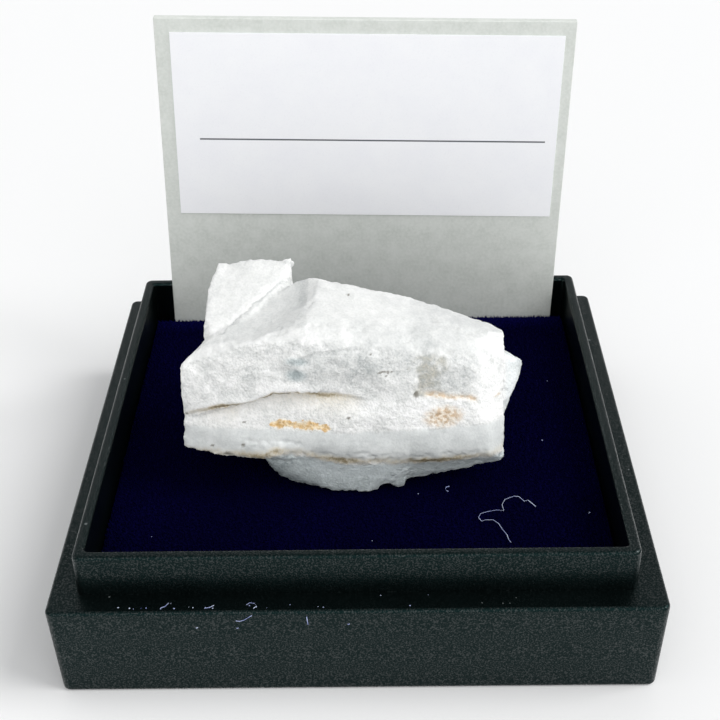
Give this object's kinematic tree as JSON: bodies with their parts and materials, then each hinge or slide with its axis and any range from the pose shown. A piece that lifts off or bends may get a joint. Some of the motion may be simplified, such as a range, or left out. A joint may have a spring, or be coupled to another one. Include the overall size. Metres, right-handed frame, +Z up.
{
  "type": "gold in quartz specimen on a display base",
  "caption": "Chunk of white vein quartz with gold flecks, lying on a navy velvet pad in a black stepped display base with an upright grey card and paper label.",
  "frame": {"origin": "bottom centre of the base", "axes": "+Z up, front with the low rim towards -Y, card at +Y, +X to the right seen from the front"},
  "size_m": [0.06, 0.06, 0.0505],
  "materials": {
    "black_plastic": "finely pebbled moulding",
    "navy_velvet": "short upright pile",
    "grey_card": "matt, faintly mottled",
    "white_paper": "matt, cool white",
    "milky_quartz": "broken, translucent, with gold and brown stain"
  },
  "bodies": {
    "root": {"base_tray": "black_plastic", "velvet_pad": "navy_velvet", "label_card": "grey_card", "paper_label": "white_paper", "quartz_stone": "milky_quartz"}
  },
  "joints": []
}
